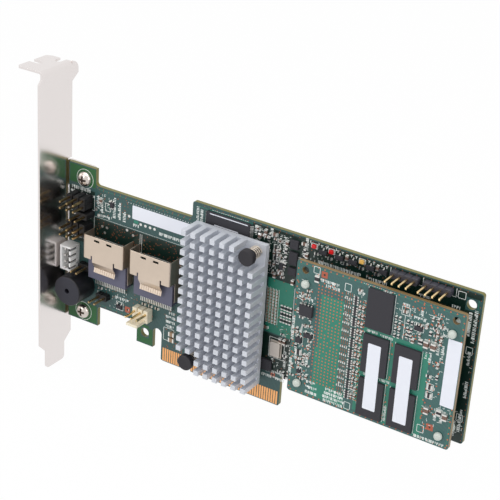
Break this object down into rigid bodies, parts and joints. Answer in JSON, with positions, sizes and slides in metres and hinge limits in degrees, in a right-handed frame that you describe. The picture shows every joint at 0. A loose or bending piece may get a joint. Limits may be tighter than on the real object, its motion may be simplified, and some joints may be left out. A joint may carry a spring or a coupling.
{
  "type": "raid controller card",
  "caption": "Low-profile storage controller card with folded mounting bracket, pin-fin heatsink, metal cable sockets that open upwards and an upright memory card on posts.",
  "frame": {"origin": "middle of the key slot in the edge tongue, at the tongue's lower edge and half way through the board", "axes": "+X along the card away from the bracket, -Y out of the side that carries the parts, +Z away from the slot that the card plugs into"},
  "size_m": [0.1799, 0.0219, 0.1217],
  "materials": {
    "board_mask": "satin green solder mask over glass-fibre board",
    "gilding": "gold plating",
    "bracket_steel": "bright nickel-plated sheet",
    "screw_steel": "bright plated",
    "sink_aluminium": "plain satin aluminium",
    "black_nylon": "fine matt moulding",
    "spring_steel": "drawn wire",
    "chip_resin": "fine sandy moulding",
    "soft_pad": "soft matt",
    "shell_tin": "warm tin-plated sheet",
    "slate_plastic": "fine matt moulding",
    "lead_tin": "tin plated",
    "header_plastic": "matt moulding",
    "white_plastic": "smooth moulding",
    "ivory_plastic": "smooth moulding",
    "buzzer_plastic": "fine matt moulding",
    "crystal_metal": "satin can",
    "red_resin": "clear resin",
    "yellow_resin": "clear resin",
    "tan_ceramic": "fired ceramic with tinned ends",
    "resistor_glaze": "dark glaze with tinned ends",
    "brown_ceramic": "fired ceramic with tinned ends",
    "label_paper": "smooth white paper",
    "white_nylon": "slightly translucent nylon"
  },
  "bodies": {
    "root": {"main_board": "board_mask", "memory_card": "board_mask", "edge_contacts": "gilding", "bracket": "bracket_steel", "bracket_screws": "screw_steel", "heatsink": "sink_aluminium", "push_pins": "black_nylon", "push_pin_springs": "spring_steel", "controller_chip": "chip_resin", "thermal_pad": "soft_pad", "mini_sas_shell_left": "shell_tin", "mini_sas_shell_right": "shell_tin", "mini_sas_bodies": "slate_plastic", "mini_sas_tails": "lead_tin", "jumper_headers": "header_plastic", "jumper_header_pins": "gilding", "lamp_headers": "header_plastic", "lamp_header_pins": "gilding", "top_headers": "header_plastic", "top_header_pins": "gilding", "wafer_connector": "white_plastic", "wafer_pins": "lead_tin", "fan_connector": "ivory_plastic", "fan_connector_pins": "gilding", "buzzer": "buzzer_plastic", "buzzer_pins": "lead_tin", "flash_chip": "chip_resin", "flash_leads": "lead_tin", "crystal_can": "crystal_metal", "clock_chip": "chip_resin", "power_chips": "chip_resin", "red_lamps": "red_resin", "yellow_lamp": "yellow_resin", "transistors": "chip_resin", "ceramic_capacitors": "tan_ceramic", "chip_resistors": "resistor_glaze", "main_label": "label_paper", "standoffs": "white_nylon", "card_plug": "header_plastic", "board_socket": "header_plastic", "memory_chips": "chip_resin", "memory_labels": "label_paper", "card_label": "label_paper", "eight_lead_chip": "chip_resin", "resistor_packs": "resistor_glaze", "card_capacitors": "brown_ceramic"}
  },
  "joints": []
}
